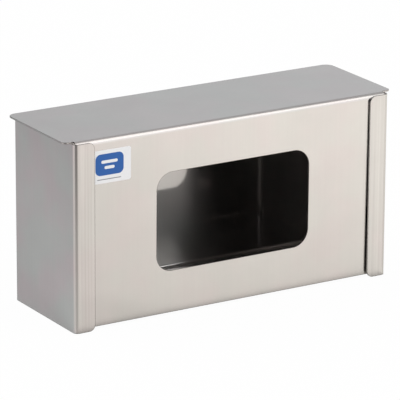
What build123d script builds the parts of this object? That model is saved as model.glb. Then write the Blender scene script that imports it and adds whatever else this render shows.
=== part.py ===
from build123d import *
from math import cos, radians, sin, tan
import os

# Dispenser for one box of disposable gloves, folded from two sheets of stainless steel.
# The housing is one blank: a back, two sides, two narrow front flanges and a floor with a lip.
# The cover is a second blank: a top that rests on the housing's rim, and a front panel with the
# window that the gloves are pulled through. The panel slides in behind the flanges from above.
# Frame: X from left to right, Y from front to back, Z up, origin at the centre of the base.

# Sheet and press tool
sheet = 1.0  # thickness of both blanks
fold_inner_radius = 2.5
fold_radius = fold_inner_radius + sheet  # outer radius of every fold

# Housing
housing_width = 260.0
housing_depth = 88.0
side_height = 137.2
flange_width = 16.0
flange_corner_radius = 4.8
floor_height = 2.0  # the floor's underside, above the side walls' lower edges
floor_width = 257.0
floor_fold_width = 250.0  # the floor's fold, which lies between the back's own two folds
lip_height = 7.0  # top of the floor's lip, which keeps the cover's panel from swinging in
lip_set_back = 4.2  # the lip's front face, behind the flanges' front face
relief_width = 1.5  # notch at each end of the floor's fold
relief_height = 1.0  # how far the notch runs past the fold

# Screw holes in the back
screw_hole_diameter = 5.5
screw_hole_spacing = 200.0
screw_hole_height = 112.0

# Cover
cover_overhang = 5.5  # past each side of the housing
cover_back_corner_radius = 6.5
ear_set_back = 5.6  # front edge of the overhang, behind the flanges' front face
ear_corner_radius = 4.0
panel_width = 255.6
panel_clearance = 0.65  # behind the flanges, at the top
panel_lean = 0.4  # degrees past square that the panel is folded, so its lower edge sits deeper
panel_bottom = 2.0

# Window
window_width = 126.5
window_height = 73.0
window_corner_radius = 12.6
window_sill = 33.0

# Label on the panel, with its left edge at the left flange
label_width = 30.0
label_height = 24.0
label_thickness = 0.1
label_corner_radius = 1.5
label_right = -84.3
label_bottom = 106.0

# Worked out from the above
front = -housing_depth / 2
back = housing_depth / 2
side = housing_width / 2
flange_edge = side - flange_width
cover_top = side_height + sheet
panel_face_top = front + sheet + panel_clearance  # the panel's front face, level with the cover's top
panel_face_bottom = panel_face_top + (cover_top - panel_bottom) * tan(radians(panel_lean))
panel_normal = (0, -cos(radians(panel_lean)), -sin(radians(panel_lean)))
panel_plane = Plane(origin=(0, panel_face_bottom, panel_bottom), x_dir=(1, 0, 0), z_dir=panel_normal)
fold_relief_top = floor_height + fold_radius + relief_height


def folded_section(outer_face, side_of_sheet):
    """Section of a folded sheet: its outer face as a path of corners, and the side the metal lies on."""
    with BuildLine() as outline:
        FilletPolyline(outer_face, radius=fold_radius)
        offset(amount=sheet, side=side_of_sheet, closed=True)
    return make_face(outline.edges())


def housing_walls():
    """Back, sides and flanges: one strip folded four times, seen from above."""
    corners = [
        (-flange_edge, front),
        (-side, front),
        (-side, back),
        (side, back),
        (side, front),
        (flange_edge, front),
    ]
    walls = extrude(folded_section(corners, Side.RIGHT), side_height)
    flange_ends = [e for e in walls.edges().filter_by(Axis.Y) if abs(abs(e.center().X) - flange_edge) < 0.01]
    return fillet(flange_ends, flange_corner_radius)


def housing_floor():
    """Floor, with the short stretch of the back that it is folded from and the lip at its front."""
    corners = [
        (back, fold_relief_top),
        (back, floor_height),
        (front + lip_set_back, floor_height),
        (front + lip_set_back, lip_height),
    ]
    section = Plane.YZ * folded_section(corners, Side.RIGHT)
    floor = extrude(section, floor_width / 2, both=True)
    notch_reach = fold_radius + relief_height
    notch = Box(floor_width - floor_fold_width, 2 * notch_reach, 2 * fold_relief_top)
    for x in (-floor_width / 2, floor_width / 2):
        floor -= Pos(x, back, floor_height) * notch
    return floor


def make_housing():
    relief_span = floor_fold_width + 2 * relief_width
    below_back = Box(
        relief_span,
        2 * fold_radius,
        fold_relief_top,
        align=(Align.CENTER, Align.CENTER, Align.MIN),
    )
    screw_hole = Cylinder(screw_hole_diameter / 2, 2 * fold_radius, rotation=(90, 0, 0))
    housing = housing_walls() - Pos(0, back, 0) * below_back + housing_floor()
    for x in (-screw_hole_spacing / 2, screw_hole_spacing / 2):
        housing -= Pos(x, back, screw_hole_height) * screw_hole
    return housing


def cover_top_sheet():
    """Flat top with rounded corners. Its overhang stops short of the fold, in an ear at each side."""
    ear_front = front + ear_set_back
    length = back - ear_front
    outline = Rectangle(housing_width + 2 * cover_overhang, length)
    corners = outline.vertices().sort_by(Axis.Y)
    outline = fillet(corners[:2], ear_corner_radius)
    outline = fillet(outline.vertices().sort_by(Axis.Y)[-2:], cover_back_corner_radius)
    return Pos(0, ear_front + length / 2, side_height) * extrude(outline, sheet)


def make_cover():
    corners = [
        (back, cover_top),
        (panel_face_top, cover_top),
        (panel_face_bottom, panel_bottom),
    ]
    section = Plane.YZ * folded_section(corners, Side.LEFT)
    folded = extrude(section, panel_width / 2, both=True)
    window_centre = window_sill + window_height / 2 - panel_bottom
    window = RectangleRounded(window_width, window_height, window_corner_radius)
    window_cut = extrude(panel_plane * Pos(0, window_centre) * window, 4 * sheet, both=True)
    return folded + cover_top_sheet() - window_cut


def make_label():
    centre_x = label_right - label_width / 2
    centre_y = label_bottom + label_height / 2 - panel_bottom
    outline = RectangleRounded(label_width, label_height, label_corner_radius)
    return extrude(panel_plane * Pos(centre_x, centre_y) * outline, label_thickness)


os.makedirs("parts", exist_ok=True)
export_step(make_housing(), "parts/housing.step")
export_step(make_cover(), "parts/lift_off_cover.step")
export_step(make_label(), "parts/label.step")
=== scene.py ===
import math

import bpy
from mathutils import Matrix, Vector


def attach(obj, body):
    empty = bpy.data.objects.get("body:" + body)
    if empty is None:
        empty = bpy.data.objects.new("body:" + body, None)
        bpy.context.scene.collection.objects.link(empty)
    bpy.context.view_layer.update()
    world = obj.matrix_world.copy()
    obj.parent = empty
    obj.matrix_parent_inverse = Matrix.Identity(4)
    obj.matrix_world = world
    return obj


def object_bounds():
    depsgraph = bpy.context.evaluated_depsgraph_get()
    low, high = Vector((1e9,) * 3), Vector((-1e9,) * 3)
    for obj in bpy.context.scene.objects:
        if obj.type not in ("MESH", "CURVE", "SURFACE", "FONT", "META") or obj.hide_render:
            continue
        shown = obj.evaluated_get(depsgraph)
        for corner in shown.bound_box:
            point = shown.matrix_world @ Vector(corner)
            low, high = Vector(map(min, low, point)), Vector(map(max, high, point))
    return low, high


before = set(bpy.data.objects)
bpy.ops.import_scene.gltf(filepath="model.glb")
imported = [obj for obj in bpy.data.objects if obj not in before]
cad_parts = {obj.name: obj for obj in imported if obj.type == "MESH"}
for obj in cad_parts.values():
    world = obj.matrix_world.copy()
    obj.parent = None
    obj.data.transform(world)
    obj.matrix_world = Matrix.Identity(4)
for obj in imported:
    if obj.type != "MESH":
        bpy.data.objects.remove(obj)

bpy.context.view_layer.update()
cad_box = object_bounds()

MM = 0.001


# ---------------------------------------------------------------- node helpers


def new_material(name):
    """An empty node material and its tree."""
    material = bpy.data.materials.new(name)
    material.use_nodes = True
    tree = material.node_tree
    tree.nodes.clear()
    return material, tree


def add(tree, kind, **settings):
    """A shader node of the given kind, with its settings."""
    node = tree.nodes.new("ShaderNode" + kind)
    for key, value in settings.items():
        setattr(node, key, value)
    return node


def feed(tree, node, socket, value):
    """Links a socket to another node's output, or sets its plain value."""
    if isinstance(value, bpy.types.NodeSocket):
        tree.links.new(value, node.inputs[socket])
    else:
        node.inputs[socket].default_value = value


def maths(tree, operation, a, b=None, c=None):
    """A Math node's result."""
    node = add(tree, "Math", operation=operation)
    for index, value in enumerate((a, b, c)):
        if value is not None:
            feed(tree, node, index, value)
    return node.outputs[0]


# A Mix node's sockets for each kind of data: first input, second input, result.
MIX_SOCKETS = {"FLOAT": (2, 3, 0), "VECTOR": (4, 5, 1), "RGBA": (6, 7, 2)}


def mixed(tree, factor, a, b, kind="FLOAT", blend="MIX"):
    """A Mix node's result for numbers, vectors or colours."""
    node = add(tree, "Mix", data_type=kind, blend_type=blend)
    first, second, result = MIX_SOCKETS[kind]
    feed(tree, node, 0, factor)
    feed(tree, node, first, a)
    feed(tree, node, second, b)
    return node.outputs[result]


def shaded(tree, tone, shade):
    """A colour times another colour or a grey."""
    return mixed(tree, 1.0, tone, shade, "RGBA", "MULTIPLY")


def vector_maths(tree, operation, a, b=None):
    """A Vector Math node's result: a number for a length or a dot product, else a vector."""
    node = add(tree, "VectorMath", operation=operation)
    feed(tree, node, 0, a)
    if b is not None:
        feed(tree, node, 1, b)
    return node.outputs["Value" if operation in ("LENGTH", "DOT_PRODUCT") else "Vector"]


def ramp(tree, factor, stops):
    """A Color Ramp with (position, grey or colour) stops."""
    node = add(tree, "ValToRGB")
    elements = node.color_ramp.elements
    while len(elements) < len(stops):
        elements.new(0.5)
    for element, (position, tone) in zip(elements, stops):
        element.position = position
        element.color = (tone, tone, tone, 1) if isinstance(tone, float) else (*tone, 1)
    feed(tree, node, 0, factor)
    return node.outputs[0]


def object_place(tree):
    """Object coordinates, which are metres in the part's own frame."""
    return add(tree, "TexCoord").outputs["Object"]


def stretched(tree, coordinate, scale):
    """Coordinates scaled unequally along the axes."""
    node = add(tree, "Mapping")
    feed(tree, node, "Vector", coordinate)
    node.inputs["Scale"].default_value = scale
    return node.outputs[0]


NOISE_MIDDLE = 0.5


def noise(tree, vector, scale=1.0, detail=2.0, roughness=0.5):
    """Smooth noise from 0 to 1."""
    node = add(tree, "TexNoise")
    feed(tree, node, "Vector", vector)
    feed(tree, node, "Scale", scale)
    feed(tree, node, "Detail", detail)
    feed(tree, node, "Roughness", roughness)
    return node.outputs[0]


def part_of(tree, vector, axis):
    """One component of a vector."""
    node = add(tree, "SeparateXYZ")
    feed(tree, node, 0, vector)
    return node.outputs["XYZ".index(axis)]


def facing(tree):
    """The direction that the surface faces."""
    return add(tree, "NewGeometry").outputs["Normal"]


# ---------------------------------------------------------------- places taken from the frame

housing_low = Vector(min(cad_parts["housing"].bound_box, key=sum))
FRONT_LEFT = (housing_low.x, housing_low.y, 0)
FRONT_RIGHT = (-housing_low.x, housing_low.y, 0)


# ---------------------------------------------------------------- camera

SENSOR = 36.0
PHOTO_PIXELS = 400
FOCAL_PIXELS = 3547.2
YAW = math.radians(31.33)
PITCH = math.radians(17.45)
ROLL = math.radians(0.29)
CAMERA_DISTANCE = 2.5445
CAMERA_TARGET = Vector((-0.0048, -0.0040, 0.0675))
CAMERA_REACH = 50.0


def make_camera():
    """Long lens at the front left, looking a little down."""
    forward = Vector((math.sin(YAW) * math.cos(PITCH), math.cos(YAW) * math.cos(PITCH), -math.sin(PITCH)))
    level = Vector((math.cos(YAW), -math.sin(YAW), 0))
    right = level * math.cos(ROLL) + level.cross(forward) * math.sin(ROLL)
    up = right.cross(forward)
    data = bpy.data.cameras.new("camera")
    data.sensor_width = SENSOR
    data.lens = FOCAL_PIXELS / PHOTO_PIXELS * SENSOR
    data.clip_end = CAMERA_REACH
    camera = bpy.data.objects.new("camera", data)
    bpy.context.scene.collection.objects.link(camera)
    axes = Matrix((right, up, -forward)).transposed()
    camera.matrix_world = Matrix.Translation(CAMERA_TARGET - forward * CAMERA_DISTANCE) @ axes.to_4x4()
    bpy.context.scene.camera = camera


# ---------------------------------------------------------------- studio

LAMP_COLOUR = (1.0, 0.975, 0.95)
LAMP_AIM = Vector((0, 0, 0.07))
KEY_LAMP = {"place": (0.95, -1.65, 2.3), "size": 2.1, "watts": 14}
FILL_LAMP = {"place": (-1.7, 1.1, 1.6), "size": 1.4, "watts": 8}
FLOOR_HALF = 8.0
FLOOR_COLOUR = (0.85, 0.85, 0.85, 1)
SOFT_LIGHT = (0.88, 0.88, 0.885, 1)

# Tones that polished metal mirrors, by height: straight down 0, level 0.5, straight up 1.
MIRRORED_SKY = [
    (0.00, (1.00, 1.00, 1.00)),
    (0.54, (1.00, 1.00, 1.00)),
    (0.61, (0.56, 0.58, 0.60)),
    (0.68, (0.53, 0.55, 0.57)),
    (0.80, (0.36, 0.36, 0.37)),
    (1.00, (0.30, 0.30, 0.30)),
]
# The sky's share by compass turn: the backdrop falls off towards the back left.
SKY_TURN = [(0.645, 1.07), (0.663, 0.98), (0.68, 0.88), (0.80, 0.85)]
# A white backdrop stands on the front right: how far it hides the sky, by compass turn and by height.
LIT_SIDE_TURN = [(0.25, 0.0), (0.29, 1.0), (0.42, 1.0), (0.55, 0.0)]
LIT_SIDE_HEIGHT = [(0.73, 1.0), (0.80, 0.0)]
LIT_SIDE = (1, 1, 1, 1)
# The room is unlit on the front left: how far it hides the sky, by compass turn.
DARK_SIDE_TURN = [(0.07, 0.0), (0.10, 1.0), (0.21, 1.0), (0.25, 0.0)]
DARK_SIDE = (0.003, 0.003, 0.003, 1)

# Tones that polished metal mirrors from the floor: brighter towards the lit front right, in metres that way.
BRIGHT_WAY = (0.86, -0.50, 0)
BRIGHT_TINT = (1.0, 0.955, 0.90, 1)
BRIGHT_FLOOR = [(0.00, 0.68), (0.03, 0.77), (0.09, 0.775), (0.18, 0.82), (0.33, 0.93), (0.46, 1.0)]
BRIGHT_START = -0.03
# The bright floor's share of its tone, by compass turn round the front right corner:
# it falls off past the right side.
BRIGHT_FADE_TURN = [(0.34, 1.0), (0.37, 0.84), (0.60, 0.80)]
# Tones round the front left corner: dark by metres from it, left by metres to the left of it.
DARK_FLOOR = [
    (0.05, (0.48, 0.46, 0.44)),
    (0.20, (0.42, 0.40, 0.38)),
    (0.38, (0.19, 0.18, 0.17)),
    (0.60, (0.05, 0.05, 0.05)),
]
LEFT_FLOOR = [
    (0.00, (0.460, 0.474, 0.484)),
    (0.10, (0.412, 0.419, 0.430)),
    (0.24, (0.333, 0.342, 0.352)),
]
PALE_FLOOR = (0.62, 0.59, 0.58, 1)
# Their shares by compass turn round that corner: dark on the front left, pale straight to the left,
# and left behind that.
DARK_TURN = [(0.04, 0.0), (0.075, 1.0), (0.20, 1.0), (0.255, 0.07), (0.345, 0.07), (0.375, 0.0)]
PALE_TURN = [(0.05, 1.0), (0.10, 0.0), (0.89, 0.0), (0.93, 1.0)]
LEFT_TURN = [(0.60, 0.0), (0.74, 1.0)]
# The left floor's share of its tone by compass turn: it falls off behind the part.
LEFT_FADE_TURN = [(0.785, 0.84), (0.815, 1.0)]
# The floor's share of its light close to the part, by metres ahead of it.
CONTACT_SHADE = [(0.000, 0.40), (0.0045, 0.64), (0.0075, 0.82), (0.0095, 0.92), (0.014, 1.0)]

# How much of the floor glows: with those tones in mirrored rays, with white to the camera. The rest is lit.
FLOOR_MIRRORED_SHARE = 0.92
FLOOR_SEEN_SHARE = 0.97
FLOOR_SEEN = (1, 1, 1, 1)


def turn_of(tree, vector):
    """Compass turn of a vector about Z: 0.25 towards the front, 0.5 right, 0.75 back, 0 and 1 left."""
    turn = add(tree, "TexGradient", gradient_type="RADIAL")
    feed(tree, turn, 0, vector)
    return turn.outputs["Fac"]


def seen_or_mirrored(tree):
    """1 for rays from the camera and rays that metal or glass sends on, 0 for soft light."""
    path = add(tree, "LightPath")
    camera_or_glossy = maths(tree, "MAXIMUM", path.outputs["Is Camera Ray"], path.outputs["Is Glossy Ray"])
    return maths(tree, "MAXIMUM", camera_or_glossy, path.outputs["Is Transmission Ray"])


def make_world():
    """Sky for metal to mirror, and an even grey for soft light.

    The sky is white low down, grey overhead, white on the front right and dark on the front left.
    """
    world = bpy.data.worlds.new("studio")
    bpy.context.scene.world = world
    world.use_nodes = True
    tree = world.node_tree
    tree.nodes.clear()
    direction = add(tree, "TexCoord").outputs["Generated"]
    height = maths(tree, "MULTIPLY_ADD", part_of(tree, direction, "Z"), 0.5, 0.5)
    turn = turn_of(tree, direction)
    sky = shaded(tree, ramp(tree, height, MIRRORED_SKY), ramp(tree, turn, SKY_TURN))
    lit = maths(tree, "MULTIPLY", ramp(tree, turn, LIT_SIDE_TURN), ramp(tree, height, LIT_SIDE_HEIGHT))
    sky = mixed(tree, lit, sky, LIT_SIDE, "RGBA")
    dark = ramp(tree, turn, DARK_SIDE_TURN)
    backdrop = add(tree, "Background")
    feed(tree, backdrop, "Color", mixed(tree, dark, sky, DARK_SIDE, "RGBA"))
    feed(tree, backdrop, "Strength", 1.0)
    soft = add(tree, "Background")
    feed(tree, soft, "Color", SOFT_LIGHT)
    feed(tree, soft, "Strength", 1.0)
    mix = add(tree, "MixShader")
    feed(tree, mix, 0, seen_or_mirrored(tree))
    feed(tree, mix, 1, soft.outputs[0])
    feed(tree, mix, 2, backdrop.outputs[0])
    feed(tree, add(tree, "OutputWorld"), 0, mix.outputs[0])


def ahead_of_part(tree, place):
    """Metres from the part's front to a place on the floor: 0 under and behind it, 1 or more beside it."""
    ahead = maths(tree, "MAXIMUM", maths(tree, "SUBTRACT", housing_low.y, part_of(tree, place, "Y")), 0.0)
    beside = maths(tree, "GREATER_THAN", maths(tree, "ABSOLUTE", part_of(tree, place, "X")), -housing_low.x)
    return maths(tree, "ADD", ahead, beside)


def mirrored_floor(tree):
    """Tones of the floor in metal: bright front right, dark front left, pale left, grey back left."""
    place = object_place(tree)
    along = maths(tree, "SUBTRACT", vector_maths(tree, "DOT_PRODUCT", place, BRIGHT_WAY), BRIGHT_START)
    bright = shaded(tree, ramp(tree, along, BRIGHT_FLOOR), BRIGHT_TINT)
    right_turn = turn_of(tree, vector_maths(tree, "SUBTRACT", place, FRONT_RIGHT))
    bright = shaded(tree, bright, ramp(tree, right_turn, BRIGHT_FADE_TURN))
    from_left = vector_maths(tree, "SUBTRACT", place, FRONT_LEFT)
    turn = turn_of(tree, from_left)
    left_by = maths(tree, "MULTIPLY", part_of(tree, from_left, "X"), -1.0)
    left = shaded(tree, ramp(tree, left_by, LEFT_FLOOR), ramp(tree, turn, LEFT_FADE_TURN))
    dark = ramp(tree, vector_maths(tree, "LENGTH", from_left), DARK_FLOOR)
    tone = mixed(tree, ramp(tree, turn, LEFT_TURN), bright, left, "RGBA")
    tone = mixed(tree, ramp(tree, turn, PALE_TURN), tone, PALE_FLOOR, "RGBA")
    tone = mixed(tree, ramp(tree, turn, DARK_TURN), tone, dark, "RGBA")
    return shaded(tree, tone, ramp(tree, ahead_of_part(tree, place), CONTACT_SHADE))


def make_floor():
    """Pale floor: white to the camera but for a soft shadow, with the room's tones in mirrored rays."""
    material, tree = new_material("floor")
    path = add(tree, "LightPath")
    lit = add(tree, "BsdfDiffuse")
    feed(tree, lit, "Color", FLOOR_COLOUR)
    seen = add(tree, "Emission")
    tone = mixed(tree, path.outputs["Is Camera Ray"], mirrored_floor(tree), FLOOR_SEEN, "RGBA")
    feed(tree, seen, "Color", tone)
    share = maths(tree, "MULTIPLY", path.outputs["Is Glossy Ray"], FLOOR_MIRRORED_SHARE)
    share = maths(tree, "MULTIPLY_ADD", path.outputs["Is Camera Ray"], FLOOR_SEEN_SHARE, share)
    mix = add(tree, "MixShader")
    feed(tree, mix, 0, share)
    feed(tree, mix, 1, lit.outputs[0])
    feed(tree, mix, 2, seen.outputs[0])
    feed(tree, add(tree, "OutputMaterial"), 0, mix.outputs[0])
    mesh = bpy.data.meshes.new("floor")
    corners = [(x * FLOOR_HALF, y * FLOOR_HALF, 0) for x, y in ((-1, -1), (1, -1), (1, 1), (-1, 1))]
    mesh.from_pydata(corners, [], [(0, 1, 2, 3)])
    mesh.materials.append(material)
    floor = bpy.data.objects.new("floor", mesh)
    bpy.context.scene.collection.objects.link(floor)


def make_lamp(name, place, size, watts):
    """Square soft box that faces the object."""
    data = bpy.data.lights.new(name, "AREA")
    data.size = size
    data.energy = watts
    data.color = LAMP_COLOUR
    lamp = bpy.data.objects.new(name, data)
    bpy.context.scene.collection.objects.link(lamp)
    lamp.location = place
    lamp.rotation_mode = "QUATERNION"
    lamp.rotation_quaternion = (LAMP_AIM - Vector(place)).to_track_quat("-Z", "Y")


# ---------------------------------------------------------------- materials

STEEL = (0.80, 0.775, 0.75, 1)
# Steel on the faces inside the box: darker, as painted shade for the box's dark inside, over a duller inner
# face of the sheet.
INSIDE_DULL_AND_SHADE = (0.71, 0.695, 0.68, 1)
HAZE_SHARE = 0.42
MIRROR_ROUGHNESS = (0.04, 0.08)
HAZE_ROUGHNESS = (0.30, 0.33)
HAZE_SMEAR = 0.93

# Tints of the stains in the sheet, and their share on the sides and elsewhere.
STAIN_TINT = [(0.42, (0.980, 1.005, 1.000)), (0.60, (1.040, 0.965, 0.995))]
STAIN_SCALE = (30, 24, -24)
STAIN_SHARE = 0.35
SIDE_STAIN_SHARE = 1.0
SIDE_FACING = 0.9  # a surface that faces this far along X is one of the sides

# The sheet's deburred edges: their dark colour, a dull cut edge with painted shade along it, how far in they
# reach, and how finely they are sampled.
EDGE_DULL_AND_SHADE = (0.07, 0.06, 0.055, 1)
EDGE_BREAK = 0.6 * MM
EDGE_SAMPLES = 6
# Share of the edge's dark colour, dull cut edge and painted shade, by how far the edge turns the surface:
# cosine of the angle.
EDGE_TURNED = [(0.93, 1.0), (0.995, 0.0)]

# How far a streak or a cloud changes the sheet's tone. The streaks are painted reflection, smeared up and
# down, and strong on the flanges.
SHEET_STREAKS = 0.05
FLANGE_REFLECTION_STREAKS = 0.42
STREAK_SCALE = (520, 520, 5)
CLOUDS = 0.11
CLOUD_SCALE = 30.0
FLANGE_DEPTH = 0.2 * MM  # how far behind the housing's front a surface still counts as a flange's face

# The rolling grain, which runs level round the walls and along X on the top.
GRAIN_SCALE = (60, 60, 4000)
GRAIN_STRENGTH = 0.04
BUMP_DEPTH = 0.02 * MM  # of the grain, and of the mottling of film and ink
FLAT_FACING = 0.7  # a surface that faces this far along Z lies flat
UP = (0, 0, 1)
BACK = (0, 1, 0)


def across_grain(tree):
    """Direction along the surface and across the rolling grain: up the walls, and back along the top."""
    upwards = maths(tree, "ABSOLUTE", part_of(tree, facing(tree), "Z"))
    flat = maths(tree, "GREATER_THAN", upwards, FLAT_FACING)
    return mixed(tree, flat, UP, BACK, "VECTOR")


def on_flanges(tree, place):
    """1 on the front faces of the housing's two flanges, 0 elsewhere."""
    return maths(tree, "LESS_THAN", part_of(tree, place, "Y"), housing_low.y + FLANGE_DEPTH)


def on_sides(tree):
    """1 on the flat of the housing's two sides, 0 elsewhere."""
    sideways = maths(tree, "ABSOLUTE", part_of(tree, facing(tree), "X"))
    return maths(tree, "GREATER_THAN", sideways, SIDE_FACING)


def facing_in(tree, place):
    """1 on the faces that look into the box, 0 on those that look out."""
    low, high = cad_box
    centre = (Vector(low) + Vector(high)) / 2
    inwards = vector_maths(tree, "SUBTRACT", centre, place)
    return maths(tree, "GREATER_THAN", vector_maths(tree, "DOT_PRODUCT", facing(tree), inwards), 0.0)


def edge_break(tree):
    """The surface's direction rounded over its sharp edges, and the share of the surface that is edge."""
    rounded = add(tree, "Bevel", samples=EDGE_SAMPLES)
    feed(tree, rounded, "Radius", EDGE_BREAK)
    turned = vector_maths(tree, "DOT_PRODUCT", rounded.outputs[0], facing(tree))
    return rounded.outputs[0], ramp(tree, turned, EDGE_TURNED)


def sheet_colour(tree, place, cloud, edge):
    """Colour of the sheet with its stains, clouds and painted reflection streaks, painted shade inside the
    box, and darker on its edges as dull cut edges with painted shade.
    """
    # Painted reflection: vertical streaks in the tone, strongest on the flanges.
    streaks = noise(tree, stretched(tree, place, STREAK_SCALE), detail=3.0, roughness=0.6)
    strength = mixed(tree, on_flanges(tree, place), SHEET_STREAKS, FLANGE_REFLECTION_STREAKS)
    shade = maths(tree, "MULTIPLY_ADD", maths(tree, "SUBTRACT", streaks, NOISE_MIDDLE), strength, 1.0)
    shade = maths(tree, "MULTIPLY_ADD", maths(tree, "SUBTRACT", cloud, NOISE_MIDDLE), CLOUDS, shade)
    stain = ramp(tree, noise(tree, stretched(tree, place, STAIN_SCALE), detail=3.0), STAIN_TINT)
    stain_share = mixed(tree, on_sides(tree), STAIN_SHARE, SIDE_STAIN_SHARE)
    # Painted shade: the faces that look into the box take the darker inside steel.
    sheet = mixed(tree, facing_in(tree, place), STEEL, INSIDE_DULL_AND_SHADE, "RGBA")
    stained = mixed(tree, stain_share, sheet, stain, "RGBA", "MULTIPLY")
    # Painted shade: the edges darken to the dark edge colour, over a dull cut edge.
    return mixed(tree, edge, shaded(tree, stained, shade), EDGE_DULL_AND_SHADE, "RGBA")


def steel():
    """Bright stainless sheet: a mirror lobe, and a hazy lobe smeared across the grain."""
    material, tree = new_material("bright_stainless")
    place = object_place(tree)
    cloud = noise(tree, place, CLOUD_SCALE, detail=4.0, roughness=0.6)
    rounded, edge = edge_break(tree)
    tint = sheet_colour(tree, place, cloud, edge)
    bump = add(tree, "Bump")
    feed(tree, bump, "Height", noise(tree, stretched(tree, place, GRAIN_SCALE)))
    feed(tree, bump, "Strength", GRAIN_STRENGTH)
    feed(tree, bump, "Distance", BUMP_DEPTH)
    feed(tree, bump, "Normal", rounded)
    mirror = add(tree, "BsdfPrincipled")
    feed(tree, mirror, "Roughness", mixed(tree, cloud, *MIRROR_ROUGHNESS))
    haze = add(tree, "BsdfPrincipled")
    feed(tree, haze, "Roughness", mixed(tree, cloud, *HAZE_ROUGHNESS))
    feed(tree, haze, "Anisotropic", HAZE_SMEAR)
    feed(tree, haze, "Tangent", across_grain(tree))
    for lobe in (mirror, haze):
        feed(tree, lobe, "Base Color", tint)
        feed(tree, lobe, "Metallic", 1.0)
        feed(tree, lobe, "Normal", bump.outputs[0])
    mix = add(tree, "MixShader")
    feed(tree, mix, 0, HAZE_SHARE)
    feed(tree, mix, 1, mirror.outputs[0])
    feed(tree, mix, 2, haze.outputs[0])
    feed(tree, add(tree, "OutputMaterial"), 0, mix.outputs[0])
    return material


# Film and inks of the label: colour and roughness.
WHITE = ((0.87, 0.87, 0.875), 0.40)
BLUE = ((0.014, 0.112, 0.40), 0.35)
GREY = ((0.30, 0.31, 0.33), 0.45)
MOTTLE_SCALE = 900.0
MOTTLE_SHADE = 0.96
MOTTLE_STRENGTH = 0.1
SHEEN_SCALE = 90.0
SHEEN_SPREAD = 0.08


def printed_film(name, colour, rough):
    """Matt plastic film or ink, with faint mottling and an uneven sheen."""
    material, tree = new_material(name)
    place = object_place(tree)
    mottle = noise(tree, place, MOTTLE_SCALE, detail=3.0, roughness=0.6)
    sheen = noise(tree, place, SHEEN_SCALE)
    darker = [MOTTLE_SHADE * channel for channel in colour]
    shader = add(tree, "BsdfPrincipled")
    feed(tree, shader, "Base Color", mixed(tree, mottle, (*darker, 1), (*colour, 1), "RGBA"))
    feed(tree, shader, "Roughness", mixed(tree, sheen, rough - SHEEN_SPREAD, rough + SHEEN_SPREAD))
    bump = add(tree, "Bump")
    feed(tree, bump, "Height", mottle)
    feed(tree, bump, "Strength", MOTTLE_STRENGTH)
    feed(tree, bump, "Distance", BUMP_DEPTH)
    feed(tree, shader, "Normal", bump.outputs[0])
    feed(tree, add(tree, "OutputMaterial"), 0, shader.outputs[0])
    return material


def dress(node, material):
    """Gives a CAD node its material."""
    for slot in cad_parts[node].material_slots:
        slot.material = material


# ---------------------------------------------------------------- print on the label

PRINT_THICKNESS = 0.02 * MM
PRINT_OVERLAP = 0.01 * MM  # how far each layer of print sinks into what it lies on
ARC_STEPS = 8
LABEL_FACING = -0.9  # a face of the label that looks this far along Y is its front

# Each plate of print: width, height, corner radius, and centre on the label.
FIELD = (22.5 * MM, 15.5 * MM, 4.0 * MM, (-2.1 * MM, 1.4 * MM))
UPPER_BAR = (13.0 * MM, 2.2 * MM, 1.0 * MM, (-2.1 * MM, 3.4 * MM))
LOWER_BAR = (8.0 * MM, 2.2 * MM, 1.0 * MM, (-2.1 * MM, -0.8 * MM))
RULE = (19.0 * MM, 0.7 * MM, 0.3 * MM, (-2.4 * MM, -9.2 * MM))


def label_front():
    """The label's front face as a matrix: origin at its centre, X level, Y up the panel, Z outwards."""
    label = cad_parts["label"]
    faces = [face for face in label.data.polygons if face.normal.y < LABEL_FACING]
    corners = [label.data.vertices[index].co for face in faces for index in face.vertices]
    low = Vector(map(min, *corners))
    high = Vector(map(max, *corners))
    outwards = faces[0].normal.copy()
    level = Vector((1, 0, 0))
    axes = Matrix((level, outwards.cross(level), outwards)).transposed()
    return Matrix.Translation((low + high) / 2) @ axes.to_4x4()


def rounded_outline(width, height, radius):
    """Points round a rectangle with round corners, anticlockwise."""
    points = []
    for quarter, (x, y) in enumerate(((1, 1), (-1, 1), (-1, -1), (1, -1))):
        centre = Vector((x * (width / 2 - radius), y * (height / 2 - radius)))
        for step in range(ARC_STEPS + 1):
            angle = math.radians(90) * (quarter + step / ARC_STEPS)
            points.append(centre + radius * Vector((math.cos(angle), math.sin(angle))))
    return points


def thin_plate(name, plate, level, plane, material):
    """A thin rounded plate of ink or film lying on a plane, moving with the cover."""
    width, height, radius, centre = plate
    outline = [point + Vector(centre) for point in rounded_outline(width, height, radius)]
    count = len(outline)
    bottom, top = level - PRINT_OVERLAP, level + PRINT_THICKNESS
    rings = [(*point, z) for z in (bottom, top) for point in outline]
    walls = [(i, (i + 1) % count, (i + 1) % count + count, i + count) for i in range(count)]
    faces = [range(count - 1, -1, -1), range(count, 2 * count), *walls]
    mesh = bpy.data.meshes.new(name)
    mesh.from_pydata(rings, [], faces)
    mesh.transform(plane)
    mesh.materials.append(material)
    piece = bpy.data.objects.new(name, mesh)
    bpy.context.scene.collection.objects.link(piece)
    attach(piece, "cover_body")


def print_label():
    """A plain blue field with two white bars, and a thin grey rule under it."""
    plane = label_front()
    white = printed_film("white_film", *WHITE)
    thin_plate("print_field", FIELD, 0.0, plane, printed_film("blue_ink", *BLUE))
    thin_plate("print_bar_upper", UPPER_BAR, PRINT_THICKNESS, plane, white)
    thin_plate("print_bar_lower", LOWER_BAR, PRINT_THICKNESS, plane, white)
    thin_plate("print_rule", RULE, 0.0, plane, printed_film("grey_ink", *GREY))


# ---------------------------------------------------------------- scene

make_camera()
make_world()
make_floor()
make_lamp("key", **KEY_LAMP)
make_lamp("fill", **FILL_LAMP)

stainless = steel()
dress("housing", stainless)
dress("lift_off_cover", stainless)
dress("label", printed_film("label_film", *WHITE))
print_label()

bpy.context.scene.view_settings.view_transform = "Standard"
bpy.context.view_layer.update()
